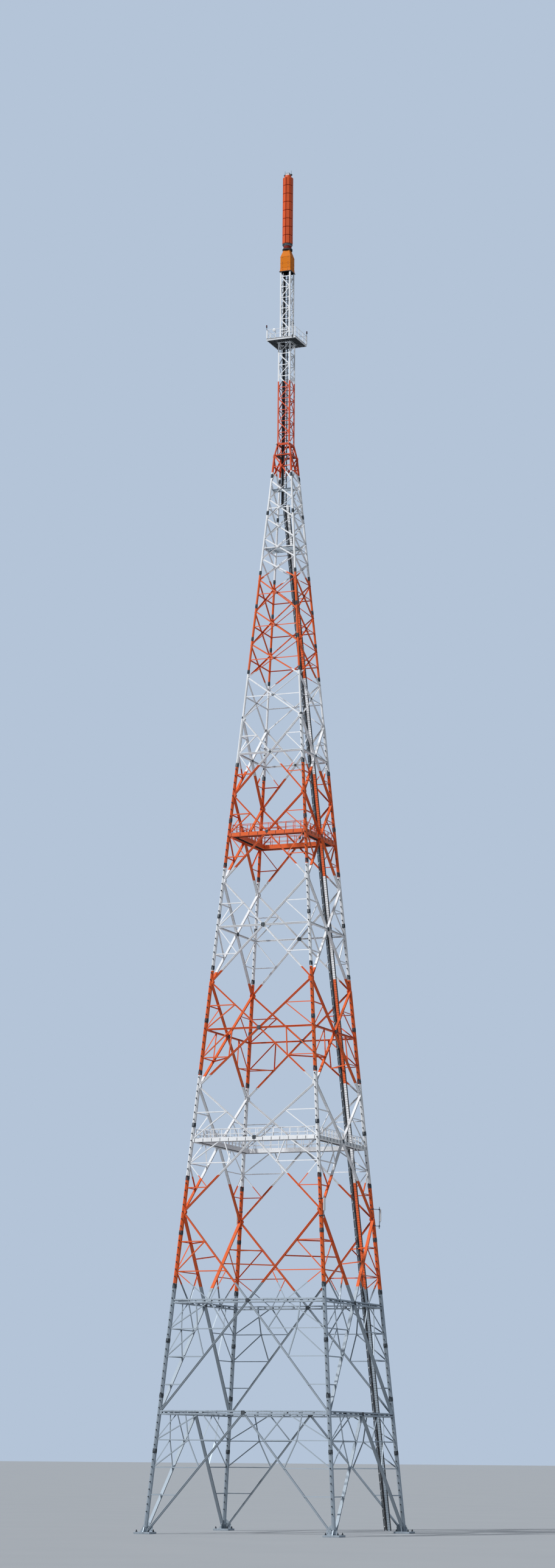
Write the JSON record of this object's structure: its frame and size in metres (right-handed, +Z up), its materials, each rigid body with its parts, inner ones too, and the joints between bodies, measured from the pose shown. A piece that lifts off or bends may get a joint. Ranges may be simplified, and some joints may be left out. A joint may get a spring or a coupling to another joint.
{
  "type": "1:10 scale model of a lattice radio mast",
  "caption": "Tapering lattice radio mast at 1:10, banded orange and white, with ring walkways, a slim square shaft with a platform, and a panel antenna on top.",
  "frame": {"origin": "on the ground, at the tower's centre line, level with the undersides of the four feet", "axes": "+Z up along the tower's centre line; -Y faces the front side, +X the right side"},
  "size_m": [2.408, 2.408, 16.107],
  "materials": {
    "galvanised_steel": "matt, weathered zinc",
    "banded_paint": "satin, orange and white bands by height",
    "white_paint": "satin",
    "orange_paint": "satin",
    "amber_cover": "moulded, satin",
    "antenna_cover": "moulded, satin",
    "aerial_cover": "moulded, satin",
    "cable_sheath": "matt",
    "lamp_glass": "clear coated"
  },
  "bodies": {
    "root": {"access_ladder": "banded_paint", "antenna_crown": "galvanised_steel", "antenna_panels": "antenna_cover", "antenna_pole": "galvanised_steel", "antenna_shroud": "amber_cover", "back_base_lattice": "galvanised_steel", "back_left_foot": "galvanised_steel", "back_left_leg": "banded_paint", "back_lower_lattice": "banded_paint", "back_middle_lattice": "banded_paint", "back_right_foot": "galvanised_steel", "back_right_leg": "banded_paint", "back_top_lattice": "banded_paint", "back_upper_lattice": "banded_paint", "cable_riser": "cable_sheath", "cable_tray": "galvanised_steel", "front_base_lattice": "galvanised_steel", "front_left_foot": "galvanised_steel", "front_left_leg": "banded_paint", "front_lower_lattice": "banded_paint", "front_middle_lattice": "banded_paint", "front_right_foot": "galvanised_steel", "front_right_leg": "banded_paint", "front_top_lattice": "banded_paint", "front_upper_lattice": "banded_paint", "ladder_brackets": "banded_paint", "left_base_lattice": "galvanised_steel", "left_lower_lattice": "banded_paint", "left_middle_lattice": "banded_paint", "left_top_lattice": "banded_paint", "left_upper_lattice": "banded_paint", "leg_aerials": "aerial_cover", "lower_shaft": "banded_paint", "lower_walkway": "white_paint", "mast_platform": "white_paint", "neck_frame": "banded_paint", "rest_landings": "white_paint", "right_base_lattice": "galvanised_steel", "right_lower_lattice": "banded_paint", "right_middle_lattice": "banded_paint", "right_top_lattice": "banded_paint", "right_upper_lattice": "banded_paint", "upper_shaft": "banded_paint", "upper_walkway": "orange_paint", "warning_lamps": "lamp_glass"}
  },
  "joints": []
}
